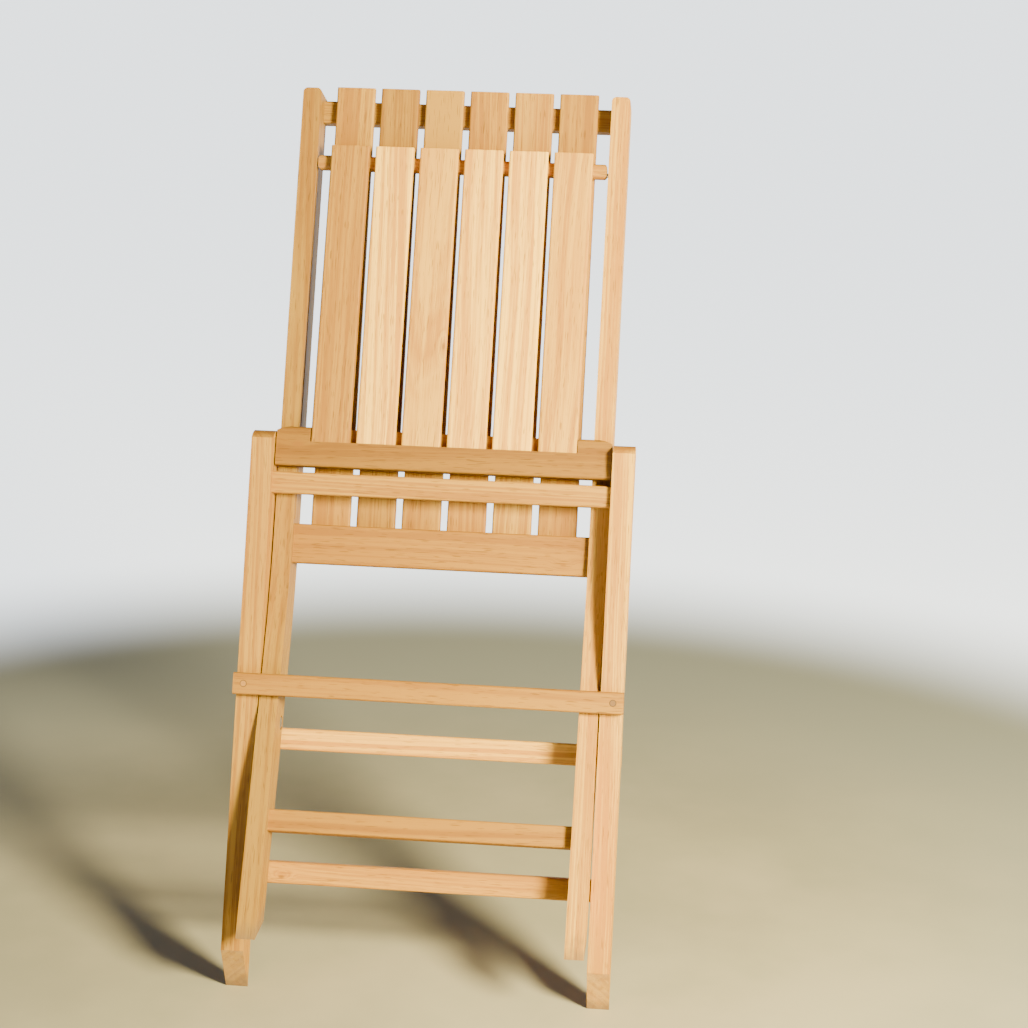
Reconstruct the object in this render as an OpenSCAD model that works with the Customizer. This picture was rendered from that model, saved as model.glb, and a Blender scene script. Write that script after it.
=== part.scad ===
// Folding deck chair in hardwood, shown folded and leaning back at its open back angle.
// +X is the sitter's left seen from the front, the front faces -Y, +Z is up.
// The floor is Z = 0. Sizes are in millimetres.
//
// Working frame: y runs backwards from the front face of the upper back posts, z runs up along
// the posts, and z = 0 is where the posts start to bend forwards. seated() puts it in the row frame.

/* [Overall] */
// Width over the outer legs
outer_w = 445; // [430:1:470]
// Lean of the backrest from upright when the chair stands open
back_lean = 21; // [20:0.1:22]
// Thickness of the outer legs
leg_t = 25.5; // [24:0.5:26]
// Depth of the outer legs
leg_d = 43; // [42:0.5:44]
// Thickness of the back posts
post_t = 22; // [20:0.5:24]
// Depth of the back posts
post_d = 43.5; // [43:0.5:44]
// Gap between a leg and the post beside it
side_gap = 1.7; // [1.6:0.1:2]

/* [Back frame] */
// Height of the post tops above the bend
post_top = 599.5; // [590:0.5:610]
// Angle by which the lower posts bend forwards
post_bend = 9.8; // [9:0.1:10.5]
// Radius of the bend on the front face
bend_r = 700; // [500:10:900]
// Height of the top rail
top_rail_h = 27; // [24:0.5:30]
// Lower edge of the top rail
top_rail_z = 563.5; // [555:0.5:570]
// Height of the wide lower back rail
low_rail_h = 46; // [42:0.5:48]
// Lower edge of the wide lower back rail
low_rail_z = 31.5; // [28:0.5:36]
// Height of the narrow rails and stretchers
rail_h = 25; // [22:0.5:28]
// Lower edge of the stretcher, measured along the lower posts
stretcher_z = -281; // [-290:1:-270]
// Setback of the stretcher from the front of the posts
stretcher_back = 12; // [8:1:16]

/* [Slats] */
// Width of every slat
slat_w = 45.8; // [42:0.1:46]
// Thickness of every slat
slat_t = 10; // [8:0.5:10]
// Spacing of the back slats
back_pitch = 53.6; // [52:0.1:54]
// Spacing of the seat slats
seat_pitch = 53; // [52:0.1:54]
// Top end of the back slats
back_slat_top = 605; // [600:1:610]
// Front face of the back slats at their top end
back_slat_y = 14.3; // [14:0.1:14.5]
// Rake of the back slats against the posts
back_rake = 1.3; // [1.2:0.1:1.4]
// Length of the seat slats
seat_slat_len = 357; // [350:1:358]

/* [Linkage] */
// Height of the scissor pivot above the bend
pivot_z = -156; // [-156.5:0.5:-155]
// Scissor pivot behind the front face of the posts
pivot_y = 7.5; // [7:0.5:8]
// Height of the seat guide pins above the bend when folded
guide_z = 506; // [505.5:0.5:506.5]
// Seat hinge in front of the line from pivot to guide pin
hinge_off = 17.5; // [17:0.5:18]
// Angle between the leg frame and the upper posts when folded
cross_angle = 2.2; // [2:0.1:2.4]
// Turn of the leg frame from folded to open
open_angle = 65.5; // [64:0.1:65.6]
// Height of the scissor pivot above the floor when open
pivot_h = 200; // [196:0.5:204]

/* [Seat] */
// Height of the seat front rail, which lies flat when open
seat_rail_h = 46; // [44:0.5:48]
// Thickness of the seat front rail
seat_rail_t = 18.5; // [17:0.5:18.5]
// Height of the seat rear batten
batten_h = 17.5; // [17:0.5:18]
// Depth of the seat rear batten
batten_d = 12.5; // [11:0.5:12.5]
// Lean of the folded seat against the posts
seat_tilt = 2; // [1.8:0.1:2.2]
// Clearance at each end of the batten
batten_gap = 1.5; // [1:0.1:2]

/* [Leg frame] */
// Top of the legs above the bend
leg_top = 182; // [181:0.5:184]
// Radius of the rounded leg tops
leg_top_r = 28; // [26:1:34]
// Lower edge of the leg top rail above the bend
leg_rail_z = 109; // [105:0.5:112]
// Setback of the leg top rail from the front of the legs
leg_rail_back = 7; // [6:0.5:8]
// Thickness of the surface-mounted bars
bar_t = 16; // [14:0.5:18]
// Lower edge of the front stop bar above the bend
bar_z = -126; // [-127:0.5:-125]
// Lower edge of the rear stop bar above the bend
rear_bar_z = -188.5; // [-190:0.5:-188]
// Lower edge of the leg bottom rail above the bend
leg_low_rail_z = -340; // [-350:0.5:-335]

/* [Hardware] */
// Radius of the scissor pivot bolts
bolt_r = 4; // [3:0.5:4]
// Radius of the seat hinge pins and guide pins
pin_r = 2.5; // [2.2:0.1:2.8]
// Radius of the wood screws
screw_r = 1.75; // [1.5:0.25:2]
// Radius of the screw heads
screw_head_r = 3.5; // [3:0.5:4]
// Radius of the wooden plugs on the stop bar
plug_r = 4; // [3.5:0.5:4.5]

/* [Hidden] */
$fn = 64;
slats = 6;
fit = 0.05;      // radial clearance of fixed hardware
run = 0.06;      // radial clearance of turning hardware
ease = 2.5;      // easing of slat and rail edges
leg_x = outer_w/2 - leg_t;
post_x = leg_x - side_gap;
inner_x = post_x - post_t;
seat_half = leg_x - 1.5;
stop_y = -22.4;  // front plane of the legs at the lower edge of the stop bar
tenon_l = 12;
tenon_t = 9;
tenon_in = 5;    // tenon shoulder above and below
counterbore = 5;

// linkage: equal links keep the guide pin on a straight line through the pivot
gp_y = pivot_y;
half_pg = (guide_z - pivot_z)/2;
hinge_y = pivot_y - hinge_off;
hinge_z = pivot_z + half_pg;
link_l = sqrt(half_pg*half_pg + hinge_off*hinge_off);
fold_angle = atan(hinge_off/half_pg);
open_z = pivot_z + 2*link_l*cos(fold_angle + open_angle);
slot_w = pin_r + 0.6;
slot_end = 1.2;
slot_d = 8.4;

// bend of the posts: a front arc of bend_r between the straight parts
bend_half = bend_r*tan(post_bend/2);
low_lean = back_lean + post_bend;
leg_lean = open_angle + cross_angle - back_lean;

// turn a point of the working frame by a about X
function turn_y(y, z, a) = y*cos(a) + z*sin(a);
function turn_z(y, z, a) = z*cos(a) - y*sin(a);

// feet: cut to the floor of the open chair, pivot_h below the pivot
// row frame: floor under the folded legs, centred front to back on the whole chair
heel_d = leg_d;
pv_y = turn_y(pivot_y - stop_y, pivot_z - bar_z, cross_angle);
pv_z = turn_z(pivot_y - stop_y, pivot_z - bar_z, cross_angle);
heel_z = pv_z - (pivot_h + (heel_d - pv_y)*sin(leg_lean))/cos(leg_lean);
leg_heel_y = stop_y + turn_y(heel_d, heel_z, -cross_angle);
leg_heel_z = bar_z + turn_z(heel_d, heel_z, -cross_angle);
base_z = -turn_z(leg_heel_y, leg_heel_z, back_lean);

low_py = turn_y(pivot_y, pivot_z, -post_bend);
low_pz = turn_z(pivot_y, pivot_z, -post_bend);
toe_z = low_pz - (pivot_h + low_py*sin(low_lean))/cos(low_lean);
toe_y = turn_y(0, toe_z, low_lean);
crown_y = turn_y(post_d, post_top, back_lean);
base_y = -(toe_y + crown_y)/2;

wood = [0.80, 0.62, 0.40];
wood_dark = [0.74, 0.54, 0.33];
wood_pale = [0.86, 0.70, 0.48];
steel = [0.62, 0.62, 0.60];

// ---- frames ----

module seated() {
    translate([0, base_y, base_z])
        rotate([-back_lean, 0, 0])
            children();
}

module lower_post() {
    rotate([-post_bend, 0, 0])
        children();
}

module leg_frame() {
    translate([0, stop_y, bar_z])
        rotate([cross_angle, 0, 0])
            children();
}

module slat_plane() {
    translate([0, back_slat_y, back_slat_top])
        rotate([back_rake, 0, 0])
            children();
}

seat_y0 = -22;
seat_z0 = 171;
module seat_plane() {
    translate([0, seat_y0, seat_z0])
        rotate([-seat_tilt, 0, 0])
            children();
}

// ---- shared shapes ----

// rectangle w by h from the origin with rounded corners
module soft_rect(w, h, r) {
    translate([r, 0])
        square([w - 2*r, h]);
    translate([0, r])
        square([w, h - 2*r]);
    for (i = [r, w - r], j = [r, h - r])
        translate([i, j])
            circle(r);
}

// board along X: from -len/2 to len/2, depth d from y = 0, height h from z = 0
module bar_x(len, d, h, r = ease) {
    translate([-len/2, 0, 0])
        rotate([90, 0, 90])
            linear_extrude(len)
                soft_rect(d, h, r);
}

// slat hanging down from z = 0, front face at y = 0
module slat_z(len) {
    translate([-slat_w/2, 0, -len])
        linear_extrude(len)
            soft_rect(slat_w, slat_t, ease);
}

// profile drawn in the Y-Z plane, extruded along +X from x0
module side(x0, t) {
    translate([x0, 0, 0])
        rotate([90, 0, 90])
            linear_extrude(t)
                children();
}

module rod_x(x0, x1, r) {
    translate([x0, 0, 0])
        rotate([0, 90, 0])
            cylinder(h = x1 - x0, r = r);
}

module rod_y(y0, y1, r) {
    translate([0, y0, 0])
        rotate([-90, 0, 0])
            cylinder(h = y1 - y0, r = r);
}

module tenons(half, d, h, grow = 0) {
    for (s = [-1, 1])
        translate([s*(half + tenon_l/2) - tenon_l/2 - grow, (d - tenon_t)/2 - grow, tenon_in - grow])
            cube([tenon_l + 2*grow, tenon_t + 2*grow, h - 2*tenon_in + 2*grow]);
}

// screw along +Y: head outer face at y = 0, shank towards +Y or -Y
module screw_y(len, dir) {
    rod_y(min(0, dir*2), max(0, dir*2), screw_head_r);
    rod_y(min(dir*2, dir*len), max(dir*2, dir*len), screw_r);
}

module screw_hole_y(len, dir, sink = 2) {
    rod_y(min(-dir*4, dir*sink), max(-dir*4, dir*sink), screw_head_r + fit);
    rod_y(min(0, dir*(len + 0.5)), max(0, dir*(len + 0.5)), screw_r + fit);
}

function slat_x(i, pitch) = (i - (slats - 1)/2)*pitch;

// ---- back frame ----

module post_profile() {
    far = bend_r + post_d + 20;
    // upper straight part
    translate([0, bend_half])
        square([post_d, post_top - bend_half - 6]);
    // lower straight part with its foot, flat on the floor when open
    difference() {
        rotate(-post_bend)
            translate([0, toe_z - 5])
                square([post_d, -bend_half - toe_z + 5]);
        rotate(-post_bend)
            translate([0, toe_z])
                rotate(low_lean)
                    translate([-60, -60])
                        square([200, 60]);
    }
    // bend
    intersection() {
        translate([-bend_r, bend_half])
            difference() {
                circle(bend_r + post_d, $fn = 720);
                circle(bend_r, $fn = 720);
            }
        polygon([
            [-bend_r, bend_half],
            [post_d + 20, bend_half],
            [-bend_r + far*cos(post_bend), bend_half - far*sin(post_bend)]
        ]);
    }
}

module post_blank() {
    side(inner_x, post_t)
        post_profile();
    // softened top
    translate([inner_x, 0, post_top - 12])
        translate([0, post_d, 0])
            rotate([90, 0, 0])
                linear_extrude(post_d)
                    difference() {
                        soft_rect(post_t, 12, 5.5);
                        square([post_t, 5.9]);
                    }
}

module right_post() {
    color(wood_pale)
    seated()
        difference() {
            post_blank();
            // guide groove for the seat pins
            translate([inner_x - 1, gp_y - slot_w, open_z - slot_end])
                cube([slot_d + 1, 2*slot_w, guide_z - open_z + 2*slot_end]);
            translate([0, gp_y, open_z - slot_end])
                rod_x(inner_x - 1, inner_x + slot_d, slot_w);
            translate([0, gp_y, guide_z + slot_end])
                rod_x(inner_x - 1, inner_x + slot_d, slot_w);
            // scissor pivot
            translate([0, pivot_y, pivot_z]) {
                rod_x(inner_x - 1, post_x + 1, bolt_r + run);
                rod_x(inner_x - 1, inner_x + counterbore + 1, 2*bolt_r + 0.4);
            }
            rail_sockets();
        }
}

module rail_sockets() {
    in_top_rail()
        tenons(inner_x, top_rail_d, top_rail_h, 0.05);
    in_low_rail()
        tenons(inner_x, low_rail_d, low_rail_h, 0.05);
    in_stretcher()
        tenons(inner_x, bar_t + 2, rail_h, 0.05);
}

top_rail_d = 18;
low_rail_d = 19;

module in_top_rail() {
    slat_plane()
        translate([0, slat_t, top_rail_z - back_slat_top])
            children();
}

module in_low_rail() {
    slat_plane()
        translate([0, -low_rail_d, low_rail_z - back_slat_top])
            children();
}

module in_stretcher() {
    lower_post()
        translate([0, stretcher_back, stretcher_z])
            children();
}

module back_post_right() {
    right_post();
}

module back_post_left() {
    mirror([1, 0, 0])
        right_post();
}

module back_screw_sites(d, z) {
    for (i = [0:slats - 1])
        translate([slat_x(i, back_pitch), 0, z])
            children();
}

top_screw_len = top_rail_d + 6;
low_screw_len = slat_t + 12;

module back_top_rail() {
    color(wood)
    seated()
        difference() {
            in_top_rail()
                union() {
                    bar_x(2*inner_x, top_rail_d, top_rail_h);
                    tenons(inner_x, top_rail_d, top_rail_h);
                }
            in_top_rail()
                back_screw_sites(0, top_rail_h/2)
                    translate([0, top_rail_d, 0])
                        screw_hole_y(top_screw_len, -1);
        }
}

module back_lower_rail() {
    color(wood)
    seated()
        difference() {
            in_low_rail()
                union() {
                    bar_x(2*inner_x, low_rail_d, low_rail_h);
                    tenons(inner_x, low_rail_d, low_rail_h);
                }
            in_low_rail()
                back_screw_sites(0, low_rail_h*0.55)
                    translate([0, low_rail_d + slat_t, 0])
                        screw_hole_y(low_screw_len, -1);
        }
}

module back_stretcher() {
    color(wood)
    seated()
        in_stretcher()
            union() {
                bar_x(2*inner_x, bar_t + 2, rail_h);
                tenons(inner_x, bar_t + 2, rail_h);
            }
}

back_slat_end = low_rail_z + 8;
module back_slat(i) {
    color(i % 3 == 0 ? wood_dark : (i % 3 == 1 ? wood : wood_pale))
    seated()
        difference() {
            slat_plane()
                translate([slat_x(i, back_pitch), 0, 0])
                    slat_z(back_slat_top - back_slat_end);
            in_top_rail()
                back_screw_sites(0, top_rail_h/2)
                    translate([0, top_rail_d, 0])
                        screw_hole_y(top_screw_len, -1);
            in_low_rail()
                back_screw_sites(0, low_rail_h*0.55)
                    translate([0, low_rail_d + slat_t, 0])
                        screw_hole_y(low_screw_len, -1);
        }
}

module back_slat_screws() {
    color(steel)
    seated() {
        in_top_rail()
            back_screw_sites(0, top_rail_h/2)
                translate([0, top_rail_d, 0])
                    screw_y(top_screw_len, -1);
        in_low_rail()
            back_screw_sites(0, low_rail_h*0.55)
                translate([0, low_rail_d + slat_t, 0])
                    screw_y(low_screw_len, -1);
    }
}

// ---- leg frame ----

leg_up = leg_top - bar_z;

module leg_profile() {
    difference() {
        union() {
            translate([0, heel_z - 10])
                square([leg_d, leg_up - leg_top_r - heel_z + 10]);
            // top rounded to an arc, with an edge left at the front and back faces
            intersection() {
                translate([0, leg_up - leg_top_r - 1])
                    square([leg_d, leg_top_r + 2]);
                translate([leg_d/2, leg_up - leg_top_r])
                    circle(leg_top_r, $fn = 180);
            }
        }
        // foot, flat on the floor when open
        translate([heel_d, heel_z])
            rotate(-leg_lean)
                translate([-300, -200])
                    square([600, 200]);
    }
}

module right_leg() {
    color(wood_pale)
    seated()
        difference() {
            leg_frame()
                side(leg_x, leg_t)
                    leg_profile();
            translate([0, pivot_y, pivot_z]) {
                rod_x(leg_x - 1, outer_w/2 + 1, bolt_r + fit);
                rod_x(outer_w/2 - counterbore, outer_w/2 + 1, 2*bolt_r + 0.3);
            }
            translate([0, hinge_y, hinge_z]) {
                rod_x(leg_x - 1, outer_w/2 + 1, pin_r + fit);
                rod_x(outer_w/2 - counterbore + 1, outer_w/2 + 1, 2*pin_r + 0.3);
            }
            leg_frame() {
                for (z = [leg_rail_z, leg_low_rail_z])
                    translate([0, leg_rail_back, z - bar_z])
                        tenons(leg_x, leg_rail_d, rail_h, 0.05);
                stop_screw_holes();
                rear_screw_holes();
            }
        }
}

module leg_right() {
    right_leg();
}

module leg_left() {
    mirror([1, 0, 0])
        right_leg();
}

leg_rail_d = 18;
module leg_rail(z) {
    color(wood)
    seated()
        leg_frame()
            translate([0, leg_rail_back, z - bar_z])
                union() {
                    bar_x(2*leg_x, leg_rail_d, rail_h);
                    tenons(leg_x, leg_rail_d, rail_h);
                }
}

module leg_top_rail() {
    leg_rail(leg_rail_z);
}

module leg_bottom_rail() {
    leg_rail(leg_low_rail_z);
}

plug_t = 5;
stop_x = outer_w/2 - leg_t*0.42;
stop_screw_len = bar_t + 18 - plug_t;

module stop_sites() {
    for (s = [-1, 1])
        translate([s*stop_x, -bar_t, rail_h/2])
            children();
}

module stop_screw_holes() {
    stop_sites()
        translate([0, plug_t, 0])
            screw_hole_y(stop_screw_len, 1);
}

module front_stop_bar() {
    color(wood)
    seated()
        leg_frame()
            difference() {
                translate([0, -bar_t, 0])
                    bar_x(outer_w + 3, bar_t, rail_h, 3);
                stop_sites()
                    rod_y(-1, plug_t, plug_r + fit);
                stop_screw_holes();
            }
}

module stop_bar_plugs() {
    color(wood_dark)
    seated()
        leg_frame()
            stop_sites()
                rod_y(0, plug_t - 0.2, plug_r);
}

module stop_bar_screws() {
    color(steel)
    seated()
        leg_frame()
            stop_sites()
                translate([0, plug_t, 0])
                    screw_y(stop_screw_len, 1);
    color(steel)
    seated()
        leg_frame()
            rear_sites()
                screw_y(stop_screw_len, -1);
}

module rear_sites() {
    for (s = [-1, 1])
        translate([s*stop_x, leg_d + bar_t, rear_bar_z - bar_z + rail_h/2])
            children();
}

module rear_screw_holes() {
    rear_sites()
        screw_hole_y(stop_screw_len, -1);
}

module rear_stop_bar() {
    color(wood)
    seated()
        leg_frame()
            difference() {
                translate([0, leg_d, rear_bar_z - bar_z])
                    bar_x(outer_w, bar_t, rail_h);
                rear_screw_holes();
            }
}

module both_sides() {
    children();
    mirror([1, 0, 0])
        children();
}

module pivot_bolts() {
    color(steel)
    seated()
        both_sides()
            translate([0, pivot_y, pivot_z]) {
                rod_x(inner_x + 2, outer_w/2 - counterbore + 0.3, bolt_r);
                rod_x(outer_w/2 - counterbore + 0.2, outer_w/2 - 1, 2*bolt_r);
            }
}

module pivot_washers() {
    color(steel)
    seated()
        both_sides()
            translate([0, pivot_y, pivot_z])
                difference() {
                    rod_x(post_x, leg_x - 0.2, 2.4*bolt_r);
                    rod_x(post_x - 1, leg_x + 1, bolt_r + fit);
                }
}

module pivot_nuts() {
    color(steel)
    seated()
        both_sides()
            translate([0, pivot_y, pivot_z])
                difference() {
                    translate([inner_x + 0.6, 0, 0])
                        rotate([0, 90, 0])
                            cylinder(h = counterbore, r = 1.8*bolt_r, $fn = 6);
                    rod_x(inner_x + 1.6, inner_x + counterbore + 2, bolt_r + fit);
                }
}

hinge_in = 26;

module seat_hinge_pins() {
    color(steel)
    seated()
        both_sides()
            translate([0, hinge_y, hinge_z]) {
                rod_x(seat_half - hinge_in, outer_w/2 - counterbore + 1.1, pin_r);
                rod_x(outer_w/2 - counterbore + 1, outer_w/2 - 1, 2*pin_r);
            }
}

// ---- seat ----

seat_rail_z = -29;
rebate_w = slat_x(slats - 1, seat_pitch)*2 + slat_w + 1;

module seat_screw_sites() {
    for (i = [0:slats - 1])
        translate([slat_x(i, seat_pitch), 0, 0])
            children();
}

front_screw_len = seat_rail_t - slat_t + 6;
rear_screw_in = batten_d + 6;

module seat_front_holes() {
    seat_screw_sites()
        translate([0, seat_rail_t, 8.5])
            screw_hole_y(front_screw_len, -1);
}

batten_z = guide_z - seat_z0 - batten_h/2 + 4.3;

batten_half = inner_x - batten_gap;

module seat_rear_holes() {
    seat_screw_sites()
        translate([0, slat_t + batten_d, batten_z + batten_h/2])
            screw_hole_y(rear_screw_in, -1);
}

// what is left outside a 38.6 mm arc at the upper corner of the rail
module corner_waste(s) {
    mirror([s < 0 ? 1 : 0, 0, 0])
        linear_extrude(seat_rail_t + 2)
            difference() {
                translate([0, -40])
                    square([21, 12]);
                circle(38.6, $fn = 180);
            }
}

module seat_front_rail() {
    color(wood_dark)
    seated()
        difference() {
            seat_plane()
                difference() {
                    translate([0, 0, seat_rail_z])
                        bar_x(2*seat_half, seat_rail_t, seat_rail_h, 4);
                    // top corners eased down towards the legs
                    for (s = [-1, 1])
                        translate([s*(seat_half - 19), -1, seat_rail_z + seat_rail_h - 38.6])
                            rotate([-90, 0, 0])
                                corner_waste(s);
                    // rebate for the slat ends
                    translate([-rebate_w/2, -1, 0])
                        cube([rebate_w, slat_t + 1, seat_rail_h]);
                    seat_front_holes();
                }
            translate([0, hinge_y, hinge_z])
                both_sides()
                    rod_x(seat_half - hinge_in - 1, seat_half + 1, pin_r + run);
        }
}

module seat_rear_batten() {
    color(wood)
    seated()
        difference() {
            seat_plane()
                difference() {
                    intersection() {
                        translate([0, slat_t, batten_z])
                            bar_x(2*batten_half, batten_d, batten_h, 4.5);
                        // ends rounded in front view
                        translate([-batten_half, slat_t + batten_d + 1, batten_z])
                            rotate([90, 0, 0])
                                linear_extrude(batten_d + 2)
                                    soft_rect(2*batten_half, batten_h, 5);
                    }
                    seat_rear_holes();
                }
            translate([0, gp_y, guide_z])
                both_sides()
                    rod_x(inner_x - 16.3, inner_x, pin_r + fit);
        }
}

module seat_slat(i) {
    color(i % 3 == 0 ? wood_dark : (i % 3 == 1 ? wood_pale : wood))
    seated()
        seat_plane()
            difference() {
                translate([slat_x(i, seat_pitch), 0, seat_slat_len])
                    slat_z(seat_slat_len);
                seat_front_holes();
                seat_rear_holes();
            }
}

module seat_slat_screws() {
    color(steel)
    seated()
        seat_plane()
            seat_screw_sites() {
                translate([0, seat_rail_t, 8.5])
                    screw_y(front_screw_len, -1);
                translate([0, slat_t + batten_d, batten_z + batten_h/2])
                    screw_y(rear_screw_in, -1);
            }
}

module seat_guide_pins() {
    color(steel)
    seated()
        translate([0, gp_y, guide_z])
            both_sides()
                rod_x(inner_x - 16, inner_x + slot_d - 1.4, pin_r);
}

// ---- nodes ----

back_post_left();
back_post_right();
back_top_rail();
back_lower_rail();
back_stretcher();
back_slat(0);  // back_slat_1
back_slat(1);  // back_slat_2
back_slat(2);  // back_slat_3
back_slat(3);  // back_slat_4
back_slat(4);  // back_slat_5
back_slat(5);  // back_slat_6
back_slat_screws();
leg_left();
leg_right();
leg_top_rail();
leg_bottom_rail();
front_stop_bar();
rear_stop_bar();
stop_bar_screws();
stop_bar_plugs();
pivot_bolts();
pivot_washers();
pivot_nuts();
seat_hinge_pins();
seat_front_rail();
seat_rear_batten();
seat_slat(0);  // seat_slat_1
seat_slat(1);  // seat_slat_2
seat_slat(2);  // seat_slat_3
seat_slat(3);  // seat_slat_4
seat_slat(4);  // seat_slat_5
seat_slat(5);  // seat_slat_6
seat_slat_screws();
seat_guide_pins();
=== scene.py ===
import math
import random

import bpy
from mathutils import Matrix, Vector


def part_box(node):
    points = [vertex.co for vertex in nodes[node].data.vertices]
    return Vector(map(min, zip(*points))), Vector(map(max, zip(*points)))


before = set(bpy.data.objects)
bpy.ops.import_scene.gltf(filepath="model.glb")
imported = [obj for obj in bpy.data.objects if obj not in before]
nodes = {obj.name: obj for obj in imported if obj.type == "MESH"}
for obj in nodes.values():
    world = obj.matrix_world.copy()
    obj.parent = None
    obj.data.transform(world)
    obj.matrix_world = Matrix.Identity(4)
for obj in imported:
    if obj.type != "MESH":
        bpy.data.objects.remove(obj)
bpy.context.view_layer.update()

# Lean of each run of boards from upright, in degrees, with the chair folded. The grain follows it.
BACK_LEAN = 21.0
LEAN = {
    "post": BACK_LEAN,
    "leg": BACK_LEAN - 2.2,
    "back_slat": BACK_LEAN - 1.2,
    "seat": BACK_LEAN + 2.0,
    "back": BACK_LEAN,
}
BEND_Z = 0.443       # where the posts start to bend forwards, above the floor
BEND_SHEAR = 0.212   # how far they run forwards below it, for each metre down

# colours of the oiled wood, more saturated than they look under the lamps
HONEY_LIGHT = (0.74, 0.425, 0.066)
HONEY_WARM = (0.72, 0.322, 0.034)
HONEY_DARK = (0.42, 0.168, 0.021)
HONEY_RED = (0.52, 0.210, 0.027)
SCUFFED = (0.60, 0.43, 0.25)
DIRT = (0.16, 0.11, 0.07)
# dark brown laid into crevices between parts: partly dirt, partly painted shade
CREVICE_DIRT_AND_SHADE = (0.085, 0.048, 0.026)
CREVICE = 0.0015     # how near another surface has to be for the crevice darkening, which is partly dirt and partly painted shade

BOARD_EDGE = 0.0009      # rounding of the boards' edges
HARDWARE_EDGE = 0.0003
SOFT_SHEEN = 0.22        # specular level of oiled wood


# ---- node helpers ----

class Shader:
    """A small wrapper that adds and links shader nodes."""

    def __init__(self, name):
        self.mat = bpy.data.materials.new(name)
        self.mat.use_nodes = True
        self.tree = self.mat.node_tree
        self.tree.nodes.clear()
        self.out = self.tree.nodes.new("ShaderNodeOutputMaterial")
        self.bsdf = self.tree.nodes.new("ShaderNodeBsdfPrincipled")
        self.link(self.bsdf.outputs["BSDF"], self.out.inputs["Surface"])

    def link(self, a, b):
        self.tree.links.new(a, b)

    def put(self, socket, value):
        if isinstance(value, bpy.types.NodeSocket):
            self.link(value, socket)
        else:
            socket.default_value = value

    def surface(self, colour, rough, normal):
        """Link the three things that every material here varies over its surface."""
        self.put(self.bsdf.inputs["Base Color"], colour)
        self.put(self.bsdf.inputs["Roughness"], rough)
        self.put(self.bsdf.inputs["Normal"], normal)

    def coords(self, kind="Object"):
        return self.tree.nodes.new("ShaderNodeTexCoord").outputs[kind]

    def mapping(self, vector, location=(0, 0, 0), rotation=(0, 0, 0), scale=(1, 1, 1)):
        n = self.tree.nodes.new("ShaderNodeMapping")
        self.link(vector, n.inputs["Vector"])
        n.inputs["Location"].default_value = location
        n.inputs["Rotation"].default_value = rotation
        n.inputs["Scale"].default_value = scale
        return n.outputs["Vector"]

    def noise(self, vector=None, scale=1.0, detail=2.0, rough=0.5, w=None, colour=False):
        n = self.tree.nodes.new("ShaderNodeTexNoise")
        if w is not None:
            n.noise_dimensions = "1D"
            self.put(n.inputs["W"], w)
        else:
            self.link(vector, n.inputs["Vector"])
        n.inputs["Scale"].default_value = scale
        n.inputs["Detail"].default_value = detail
        n.inputs["Roughness"].default_value = rough
        return n.outputs["Color" if colour else "Fac"]

    def stretched(self, vector, across, along, detail, rough=0.5, colour=False):
        """Noise drawn out along Z: across and along are its scales."""
        drawn_out = self.mapping(vector, scale=(across, across, along))
        return self.noise(drawn_out, 1.0, detail, rough, colour=colour)

    def maths(self, op, a, b=None, c=None):
        n = self.tree.nodes.new("ShaderNodeMath")
        n.operation = op
        for i, v in enumerate((a, b, c)):
            if v is not None:
                self.put(n.inputs[i], v)
        return n.outputs[0]

    def add_swing(self, base, value, gain):
        """base plus gain times the value's swing either side of a half."""
        return self.maths("MULTIPLY_ADD", self.maths("SUBTRACT", value, 0.5), gain, base)

    def vector(self, op, a, b=None, scale=None):
        n = self.tree.nodes.new("ShaderNodeVectorMath")
        n.operation = op
        self.put(n.inputs[0], a)
        if b is not None:
            self.put(n.inputs[1], b)
        if scale is not None:
            n.inputs["Scale"].default_value = scale
        return n.outputs["Value" if op in ("LENGTH", "DOT_PRODUCT") else "Vector"]

    def fit(self, value, a, b, c=0.0, d=1.0):
        """A smooth step: value a gives c, value b gives d."""
        n = self.tree.nodes.new("ShaderNodeMapRange")
        n.interpolation_type = "SMOOTHSTEP"
        self.put(n.inputs["Value"], value)
        for key, v in zip(("From Min", "From Max", "To Min", "To Max"), (a, b, c, d)):
            n.inputs[key].default_value = v
        return n.outputs["Result"]

    def mix(self, fac, a, b):
        n = self.tree.nodes.new("ShaderNodeMix")
        n.data_type = "RGBA"
        self.put(n.inputs["Factor"], fac)
        self.put(n.inputs[6], a)
        self.put(n.inputs[7], b)
        return n.outputs[2]

    def split(self, vector):
        n = self.tree.nodes.new("ShaderNodeSeparateXYZ")
        self.link(vector, n.inputs[0])
        return n.outputs

    def bump(self, height, distance, strength):
        n = self.tree.nodes.new("ShaderNodeBump")
        n.inputs["Strength"].default_value = strength
        n.inputs["Distance"].default_value = distance
        self.link(height, n.inputs["Height"])
        return n.outputs["Normal"]


def blend(a, b, share):
    return [x + (y - x) * share for x, y in zip(a, b)]


def rgba(c, gain=1.0):
    return tuple(min(1.0, x * gain) for x in c) + (1.0,)


# ---- wood ----

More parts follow.
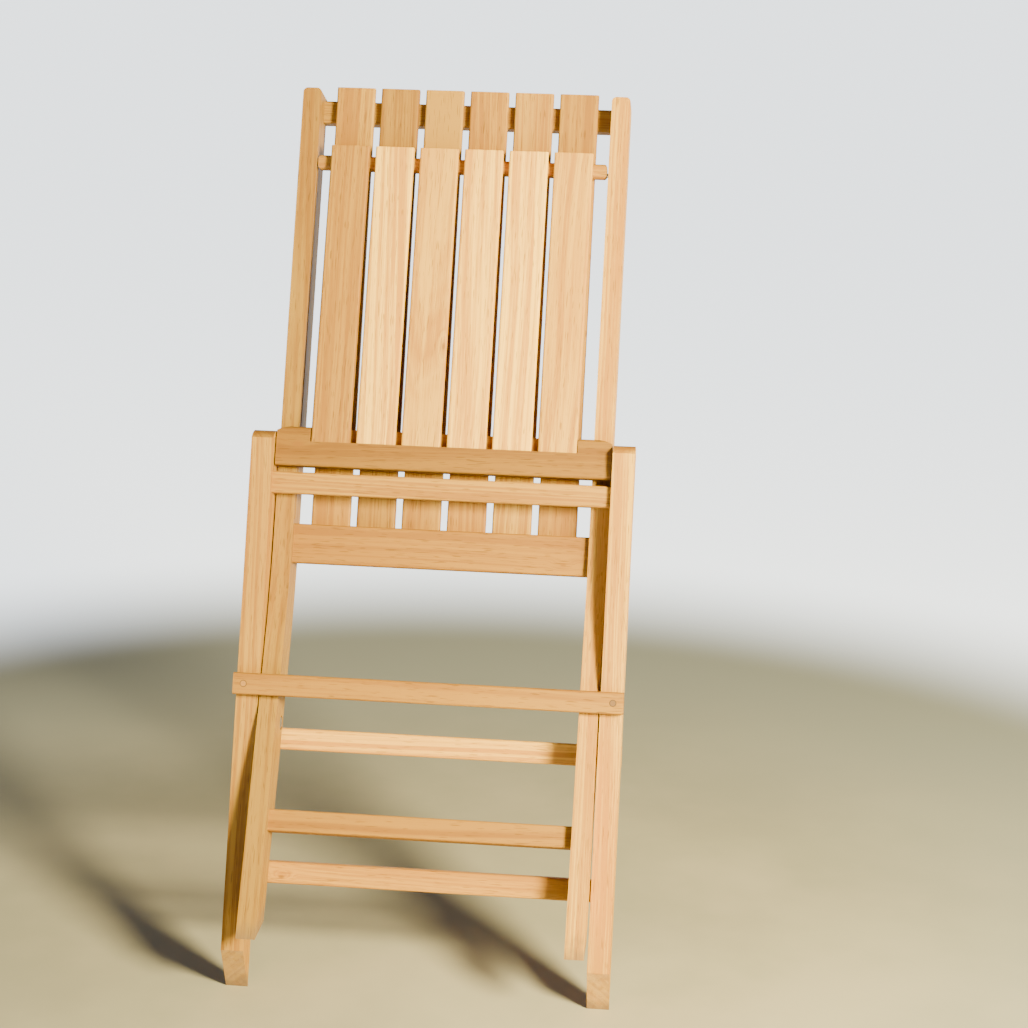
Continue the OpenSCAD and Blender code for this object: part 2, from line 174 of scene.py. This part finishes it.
def grain_space(s, rnd, raw, lean, across, bent_post):
    """Coordinates with Z along the board. The pith of the tree runs along Z, some way off the board."""
    tilt = [math.radians(rnd.uniform(-1.1, 1.1)) for _ in range(2)]
    turn = (math.radians(lean) + tilt[0], (-math.pi / 2 if across else 0.0) + tilt[1], 0.0)
    pith = (
        rnd.uniform(-0.05, 0.05),
        rnd.choice((-1, 1)) * rnd.uniform(0.05, 0.12),
        rnd.uniform(-9.0, 9.0),
    )
    if bent_post:
        # the grain follows the bend
        below = s.maths("MAXIMUM", s.maths("SUBTRACT", BEND_Z, s.split(raw)[2]), 0.0)
        shift = s.tree.nodes.new("ShaderNodeCombineXYZ")
        s.put(shift.inputs["Y"], s.maths("MULTIPLY", below, BEND_SHEAR))
        raw = s.vector("ADD", raw, shift.outputs["Vector"])
    return s.mapping(raw, location=pith, rotation=turn)


def ring_radius(s, raw, bent, across, knots):
    """Distance from the pith, which swells round each knot, and how much of a knot's core a point is in."""
    radius = s.vector("LENGTH", s.vector("MULTIPLY", bent, (1.0, 1.0, 0.0)))
    core = None
    # knots are longer along the board
    stretch = (0.5, 0.0, 1.0) if across else (1.0, 0.0, 0.45)
    for x, z, size in knots:
        away = s.vector("MULTIPLY", s.vector("SUBTRACT", raw, (x, 0.0, z)), stretch)
        away = s.vector("LENGTH", away)
        radius = s.maths("MULTIPLY_ADD", s.fit(away, size * 3.0, 0.0), 0.006, radius)
        this_core = s.fit(away, size * 0.75, size * 0.2)
        core = this_core if core is None else s.maths("MAXIMUM", core, this_core)
    return radius, core


def worn_edges(s, raw, colour):
    """Handled edges are darker, in patches."""
    rounded = s.tree.nodes.new("ShaderNodeBevel")
    rounded.samples = 4
    rounded.inputs["Radius"].default_value = 0.0022
    flat = s.tree.nodes.new("ShaderNodeNewGeometry")
    edge = s.vector("DOT_PRODUCT", rounded.outputs["Normal"], flat.outputs["Normal"])
    patchy = s.stretched(raw, 60.0, 22.0, 3.0, 0.6)
    edge = s.maths("MULTIPLY", s.fit(edge, 0.995, 0.93), s.fit(patchy, 0.35, 0.65))
    return s.mix(s.maths("MULTIPLY", edge, 0.35), colour, rgba(HONEY_DARK, 0.8))


def end_grain(s, lean, across, tone, colour):
    """End grain drinks more oil and is darker. Returns the colour and where the ends are."""
    along = Vector((0.0, math.sin(math.radians(lean)), math.cos(math.radians(lean))))
    if across:
        along = Vector((1.0, 0.0, 0.0))
    facing = s.vector("DOT_PRODUCT", s.coords("Normal"), tuple(along))
    end = s.fit(s.maths("ABSOLUTE", facing), 0.55, 0.9)
    return s.mix(s.maths("MULTIPLY", end, 0.6), colour, rgba(HONEY_RED, 0.6 * tone)), end


def weathered_foot(s, raw, foot, end, colour):
    """The sloping cuts of the feet are scuffed pale, and grimy below the height foot."""
    height = s.split(raw)[2]
    scuff = s.fit(s.stretched(raw, 90.0, 90.0, 4.0, 0.65), 0.35, 0.6, 0.45, 0.85)
    scuff = s.maths("MULTIPLY", scuff, s.fit(height, foot + 0.10, foot + 0.06))
    colour = s.mix(s.maths("MULTIPLY", end, scuff), colour, rgba(SCUFFED))
    ragged = s.stretched(raw, 55.0, 30.0, 4.0, 0.65)
    grime = s.fit(s.add_swing(height, ragged, -0.05), foot + 0.012, foot - 0.012)
    return s.mix(s.maths("MULTIPLY", grime, 0.6), colour, rgba(DIRT)), grime


def crevice_dirt_and_shade(s, colour):
    """Darkens the colour where boards meet or all but touch: dust and old oil, and painted shade."""
    crevice = s.tree.nodes.new("ShaderNodeAmbientOcclusion")
    crevice.samples = 6
    crevice.inputs["Distance"].default_value = CREVICE
    # painted shade, with dirt, where another surface lies within CREVICE
    dirt_and_shade_share = s.fit(crevice.outputs["AO"], 0.62, 0.12, 0.0, 0.9)
    return s.mix(dirt_and_shade_share, colour, rgba(CREVICE_DIRT_AND_SHADE))


def wood(name, lean, across, seed, tone, warmth, foot=0.0, knots=(), bent_post=False):
    """Plain-sawn hardwood. lean turns the grain upright and across lays it along X.

    tone and warmth set the board's brightness and redness. foot is the height below which a foot is grimy, or
    0 for a board without one. knots lists (x, z, radius) of the knots, which go through from front to back.
    """
    rnd = random.Random(seed)
    s = Shader(name)
    raw = s.coords()
    grain = grain_space(s, rnd, raw, lean, across, bent_post)
    # slow wander of the grain
    wander = s.stretched(grain, 5.0, 1.1, 2.0, colour=True)
    wander = s.vector("SCALE", s.vector("SUBTRACT", wander, (0.5, 0.5, 0.5)), scale=0.030)
    bent = s.vector("ADD", grain, wander)
    radius, knot_core = ring_radius(s, raw, bent, across, knots)
    rings = s.noise(w=radius, scale=rnd.uniform(260, 380), detail=3.0, rough=0.6)
    bands = s.noise(w=radius, scale=60.0, detail=1.0, rough=0.5)
    # fibres and pores, drawn out along the grain
    fibre = s.stretched(bent, 850.0, 14.0, 3.0, 0.65)
    streak = s.stretched(bent, 170.0, 3.0, 2.0)
    pores = s.fit(s.stretched(bent, 950.0, 55.0, 0.0), 0.66, 0.76)
    cloud = s.stretched(grain, 9.0, 3.0, 2.0)

    figure = 0.5
    for layer, gain in ((rings, 1.25), (bands, 1.2), (streak, 1.1), (fibre, 0.8)):
        figure = s.add_swing(figure, layer, gain)
    figure = s.fit(figure, 0.16, 0.84)
    light = rgba(blend(HONEY_LIGHT, HONEY_WARM, warmth), tone)
    dark = rgba(blend(HONEY_DARK, HONEY_RED, warmth), tone)
    colour = s.mix(s.maths("MULTIPLY_ADD", figure, -0.9, 0.85), light, dark)
    colour = s.mix(s.fit(cloud, 0.42, 0.70, 0.0, 0.30 + 0.35 * warmth), colour, rgba(HONEY_RED, tone))
    colour = s.mix(s.maths("MULTIPLY", pores, 0.5), colour, rgba(HONEY_DARK, 0.5 * tone))
    if knot_core is not None:
        colour = s.mix(s.maths("MULTIPLY", knot_core, 0.8), colour, rgba(HONEY_DARK, 0.55))
    colour = worn_edges(s, raw, colour)
    colour, end = end_grain(s, lean, across, tone, colour)
    rough = s.maths("MULTIPLY_ADD", fibre, 0.16, 0.50)
    rough = s.maths("MULTIPLY_ADD", pores, 0.15, rough)
    if foot:
        colour, grime = weathered_foot(s, raw, foot, end, colour)
        rough = s.maths("MULTIPLY_ADD", grime, 0.3, rough)
    # painted shade and dirt in the crevices where boards meet
    colour = crevice_dirt_and_shade(s, colour)

    height = s.maths("MULTIPLY_ADD", pores, -0.8, fibre)
    height = s.maths("MULTIPLY_ADD", rings, 0.6, height)
    s.surface(colour, rough, s.bump(height, 0.00022, 0.55))
    s.bsdf.inputs["Specular IOR Level"].default_value = SOFT_SHEEN
    return s.mat


def plug_wood(name):
    """The two plugs: end grain with a dark glue line round each, one pale and one gone grey."""
    s = Shader(name)
    low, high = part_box("stop_bar_plugs")
    middle = (low + high) / 2
    radius = 0.00395
    lean = math.radians(LEAN["leg"])
    raw = s.coords()
    x = s.split(raw)[0]
    dx = s.maths("SUBTRACT", s.maths("ABSOLUTE", x), high.x - radius)
    # distance up the sloping face of the bar
    dz = s.vector("DOT_PRODUCT", s.vector("SUBTRACT", raw, (0.0, middle.y, middle.z)),
                  (0.0, math.sin(lean), math.cos(lean)))
    away = s.maths("SQRT", s.maths("ADD", s.maths("MULTIPLY", dx, dx), s.maths("MULTIPLY", dz, dz)))
    specks = s.noise(s.mapping(raw, scale=(1400.0, 300.0, 1400.0)), 1.0, 3.0, 0.6)
    right_hand = s.maths("GREATER_THAN", x, 0.0)
    colour = s.mix(right_hand, (0.40, 0.19, 0.050, 1), (0.17, 0.095, 0.045, 1))
    colour = s.mix(s.fit(specks, 0.4, 0.7, 0.0, 0.5), colour, rgba(HONEY_DARK, 0.6))
    colour = s.mix(s.fit(away, radius * 0.72, radius * 0.93, 0.0, 0.85), colour, (0.05, 0.025, 0.008, 1))
    rough = s.maths("MULTIPLY_ADD", specks, 0.2, 0.55)
    s.surface(colour, rough, s.bump(specks, 0.0002, 0.6))
    s.bsdf.inputs["Specular IOR Level"].default_value = SOFT_SHEEN
    return s.mat


# ---- metal ----

def metal(name, seed):
    """Dull zinc-plated steel with brushed streaks and a little tarnish."""
    rnd = random.Random(seed)
    s = Shader(name)
    raw = s.mapping(s.coords(), location=[rnd.uniform(-1, 1) for _ in range(3)])
    brushed = s.noise(s.mapping(raw, scale=(400.0, 2600.0, 2600.0)), 1.0, 3.0, 0.6)
    stain = s.noise(raw, 260.0, 4.0, 0.6)
    colour = s.mix(s.fit(stain, 0.42, 0.68), (0.40, 0.40, 0.38, 1), (0.22, 0.20, 0.17, 1))
    colour = s.mix(s.maths("MULTIPLY", brushed, 0.25), colour, (0.55, 0.55, 0.54, 1))
    rough = s.maths("MULTIPLY_ADD", stain, 0.35, 0.22)
    s.surface(colour, rough, s.bump(brushed, 0.00008, 0.5))
    s.bsdf.inputs["Metallic"].default_value = 1.0
    return s.mat


# ---- boards ----

# tone and warmth of each board: (brightness, redness)
BOARDS = {
    "seat_slat_1": (0.57, 0.7), "seat_slat_2": (1.20, 0.0), "seat_slat_3": (0.89, 0.4),
    "seat_slat_4": (1.18, 0.1), "seat_slat_5": (1.25, 0.0), "seat_slat_6": (0.90, 0.4),
    "back_slat_1": (0.62, 0.5), "back_slat_2": (0.47, 0.6), "back_slat_3": (0.57, 0.5),
    "back_slat_4": (0.60, 0.7), "back_slat_5": (0.68, 0.3), "back_slat_6": (0.54, 0.7),
    "back_post_left": (0.48, 0.3), "back_post_right": (0.92, 0.2),
    "leg_left": (0.64, 0.4), "leg_right": (0.96, 0.1),
    "back_top_rail": (0.46, 0.4), "back_lower_rail": (0.50, 0.9), "back_stretcher": (0.52, 0.8),
    "leg_top_rail": (0.62, 0.6), "leg_bottom_rail": (0.78, 0.75),
    "front_stop_bar": (0.54, 0.75), "rear_stop_bar": (1.15, 0.1),
    "seat_front_rail": (0.36, 0.9), "seat_rear_batten": (0.62, 0.6),
}

# knots of a board: how far along its box from the left, how far up it, and the radius in metres
KNOTS = {
    "seat_front_rail": ((0.065, 0.62, 0.007),),
    "back_lower_rail": ((0.89, 0.36, 0.0036),),
    "seat_slat_3": ((0.93, 0.34, 0.0035),),
    "leg_bottom_rail": ((0.12, 0.45, 0.0035),),
}
UPRIGHT = ("post", "slat_", "leg_left", "leg_right")
FOOTED = ("back_post_left", "back_post_right", "leg_left", "leg_right")
GRIME_HEIGHT = 0.012     # of the weathered end of a foot


def knots_of(name):
    low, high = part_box(name)
    return [(low.x + (high.x - low.x) * right, low.z + (high.z - low.z) * up, size)
            for right, up, size in KNOTS.get(name, ())]


def lean_of(name):
    for key in ("back_slat", "post", "seat"):
        if key in name:
            return LEAN[key]
    return LEAN["back" if name.startswith("back") else "leg"]


def board_wood(name, seed):
    tone, warmth = BOARDS[name]
    across = not any(k in name for k in UPRIGHT)
    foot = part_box(name)[0].z + GRIME_HEIGHT if name in FOOTED else 0.0
    return wood("wood_" + name, lean_of(name), across, seed, tone, warmth,
                foot=foot, knots=knots_of(name), bent_post=name.startswith("back_post"))


def soften_edges(obj, width):
    """Smooth shading with a small rounding along the sharp edges."""
    for poly in obj.data.polygons:
        poly.use_smooth = True
    weld = obj.modifiers.new("weld", "WELD")
    weld.merge_threshold = 0.00001
    bevel = obj.modifiers.new("bevel", "BEVEL")
    bevel.limit_method = "ANGLE"
    bevel.angle_limit = math.radians(42)
    bevel.width = width
    bevel.segments = 2
    bevel.use_clamp_overlap = True
    normals = obj.modifiers.new("normals", "WEIGHTED_NORMAL")
    normals.keep_sharp = False
    normals.weight = 80


for index, name in enumerate(sorted(nodes)):
    if name in BOARDS:
        material = board_wood(name, 11 + index * 7)
    elif name == "stop_bar_plugs":
        material = plug_wood("wood_plugs")
    else:
        material = metal("steel_" + name, 400 + index)
    obj = nodes[name]
    obj.data.materials.clear()
    obj.data.materials.append(material)
    soften_edges(obj, BOARD_EDGE if name in BOARDS else HARDWARE_EDGE)


# ---- floor, lights, camera ----

def floor_paint():
    """Beige round the chair, greyer further out, then fading into a bright white sweep."""
    s = Shader("floor_paint")
    raw = s.coords()
    soft = s.noise(raw, 3.0, 4.0, 0.6)
    grain = s.noise(raw, 900.0, 2.0, 0.6)
    away = s.vector("LENGTH", raw)
    far = s.fit(away, 1.15, 1.75)
    near = s.mix(s.fit(soft, 0.3, 0.7), (0.40, 0.365, 0.270, 1), (0.50, 0.445, 0.330, 1))
    near = s.mix(s.fit(away, 0.35, 1.15), near, (0.40, 0.41, 0.375, 1))
    colour = s.mix(far, near, (0.80, 0.81, 0.82, 1))
    rough = s.maths("MULTIPLY_ADD", grain, 0.2, 0.6)
    s.surface(colour, rough, s.bump(grain, 0.0002, 0.3))
    s.bsdf.inputs["Emission Color"].default_value = (0.90, 0.96, 1.0, 1)
    s.put(s.bsdf.inputs["Emission Strength"], s.maths("MULTIPLY", far, 2.4))
    return s.mat


def make_floor(half):
    mesh = bpy.data.meshes.new("floor")
    corners = [(-half, -half, 0), (half, -half, 0), (half, half, 0), (-half, half, 0)]
    mesh.from_pydata(corners, [], [(0, 1, 2, 3)])
    mesh.materials.append(floor_paint())
    obj = bpy.data.objects.new("floor", mesh)
    bpy.context.scene.collection.objects.link(obj)


def area_light(name, at, size, power, colour):
    """A round lamp that points at the middle of the chair."""
    data = bpy.data.lights.new(name, "AREA")
    data.shape = "DISK"
    data.size = size
    data.energy = power
    data.color = colour
    obj = bpy.data.objects.new(name, data)
    obj.location = at
    middle = Vector((0.0, 0.0, 0.5))
    obj.rotation_euler = (middle - Vector(at)).to_track_quat("-Z", "Y").to_euler()
    bpy.context.scene.collection.objects.link(obj)


def make_sky():
    """Dim overhead, and bright low down where the floor's sweep ends."""
    world = bpy.data.worlds.new("studio")
    bpy.context.scene.world = world
    world.use_nodes = True
    sky = world.node_tree
    background = sky.nodes["Background"]
    background.inputs["Color"].default_value = (0.92, 0.96, 1.0, 1)
    heading = sky.nodes.new("ShaderNodeTexCoord").outputs["Generated"]
    split = sky.nodes.new("ShaderNodeSeparateXYZ")
    ramp = sky.nodes.new("ShaderNodeMapRange")
    sky.links.new(heading, split.inputs[0])
    sky.links.new(split.outputs["Z"], ramp.inputs["Value"])
    for key, v in zip(("From Min", "From Max", "To Min", "To Max"), (0.14, 0.03, 0.10, 2.3)):
        ramp.inputs[key].default_value = v
    sky.links.new(ramp.outputs["Result"], background.inputs["Strength"])


def make_camera(at, right, up, lens):
    data = bpy.data.cameras.new("camera")
    data.sensor_width = 36.0
    data.lens = lens
    data.clip_start, data.clip_end = 0.05, 200.0
    obj = bpy.data.objects.new("camera", data)
    bpy.context.scene.collection.objects.link(obj)
    turn = Matrix((right, up, right.cross(up))).transposed().to_4x4()
    obj.matrix_world = Matrix.Translation(at) @ turn
    bpy.context.scene.camera = obj


make_floor(60.0)
area_light("key", (1.45, -1.62, 1.28), 0.60, 295, (1.0, 0.88, 0.47))
area_light("fill", (-2.2, -1.6, 2.4), 2.4, 4, (0.95, 0.98, 1.0))
area_light("back", (-0.8, 3.0, 3.0), 2.5, 6, (1.0, 1.0, 1.0))
make_sky()
make_camera(
    at=(0.3094, -2.5466, 1.2216),
    right=Vector((0.99533, 0.09369, 0.02345)),
    up=Vector((-0.04673, 0.25467, 0.96591)),
    lens=80.2,
)
